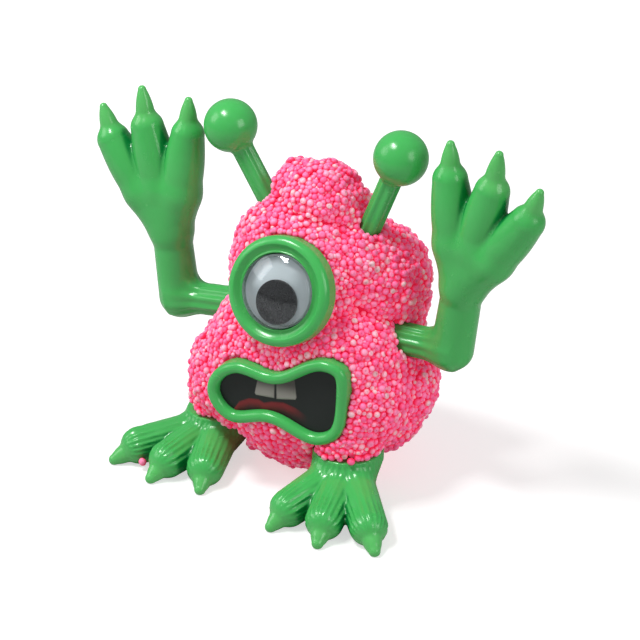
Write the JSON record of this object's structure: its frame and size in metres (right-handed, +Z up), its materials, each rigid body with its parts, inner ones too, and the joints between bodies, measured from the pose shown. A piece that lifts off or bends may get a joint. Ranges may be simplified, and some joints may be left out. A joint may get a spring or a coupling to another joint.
{
  "type": "push-in bead-foam creature toy",
  "caption": "Free-standing one-eyed creature of bead modelling foam with push-in soft-plastic arms, antennae, feet, wobbly eye and open mouth.",
  "frame": {"origin": "on the table under the middle of the body, on the foam's flat underside", "axes": "+Z up, the toy faces -Y, its own left side is +X"},
  "size_m": [0.1228, 0.0678, 0.0914],
  "materials": {
    "bead_foam": "matte beads in a soft binder",
    "green_plastic": "semi-gloss soft plastic",
    "eye_white": "satin",
    "eye_clear": "clear",
    "eye_black": "gloss",
    "mouth_print": "printed gloss"
  },
  "bodies": {
    "foam": {"foam_belly": "bead_foam", "foam_cheek_right": "bead_foam", "foam_hip_left": "bead_foam", "foam_seat": "bead_foam", "foam_head": "bead_foam", "foam_shoulder_left": "bead_foam", "foam_crown": "bead_foam"},
    "arm_left": {"arm_left": "green_plastic"},
    "arm_right": {"arm_right": "green_plastic"},
    "antenna_left": {"antenna_left": "green_plastic"},
    "antenna_right": {"antenna_right": "green_plastic"},
    "foot_left": {"foot_left": "green_plastic"},
    "foot_right": {"foot_right": "green_plastic", "stray_bead": "bead_foam"},
    "eye": {"eye_ring": "green_plastic", "eye_cup": "eye_white", "eye_dome": "eye_clear"},
    "pupil": {"eye_pupil": "eye_black"},
    "mouth": {"mouth_lip": "green_plastic", "mouth_insert": "mouth_print"}
  },
  "joints": [
    {"name": "arm_left_turn", "type": "hinge", "parent": "foam", "child": "arm_left", "pos_m": [0.0375, 0, 0.0387], "axis": [0.9998, 0, 0.0175], "range_deg": [-80, 100]},
    {"name": "arm_right_turn", "type": "hinge", "parent": "foam", "child": "arm_right", "pos_m": [-0.0382, 0, 0.0352], "axis": [0.9945, 0, 0.1045], "range_deg": [-80, 100]},
    {"name": "antenna_left_pull", "type": "slide", "parent": "foam", "child": "antenna_left", "axis": [0.3827, 0, 0.9239], "range_m": [0, 0.02]},
    {"name": "antenna_right_pull", "type": "slide", "parent": "foam", "child": "antenna_right", "axis": [-0.5299, 0, 0.848], "range_m": [0, 0.02]},
    {"name": "foot_left_turn", "type": "hinge", "parent": "foam", "child": "foot_left", "pos_m": [0.0173, -0.0133, 0.0112], "axis": [0, 0, 1], "range_deg": [-15, 15]},
    {"name": "foot_right_turn", "type": "hinge", "parent": "foam", "child": "foot_right", "pos_m": [-0.022, -0.0065, 0.0112], "axis": [0, 0, 1], "range_deg": [-15, 15]},
    {"name": "eye_pull", "type": "slide", "parent": "foam", "child": "eye", "axis": [0.05, -0.955, 0.2924], "range_m": [0, 0.012]},
    {"name": "pupil_roll", "type": "hinge", "parent": "eye", "child": "pupil", "pos_m": [0.0022, -0.021, 0.0535], "axis": [0.05, -0.955, 0.2924], "continuous": true},
    {"name": "mouth_pull", "type": "slide", "parent": "foam", "child": "mouth", "axis": [0.1045, -0.9945, 0], "range_m": [0, 0.01]}
  ]
}
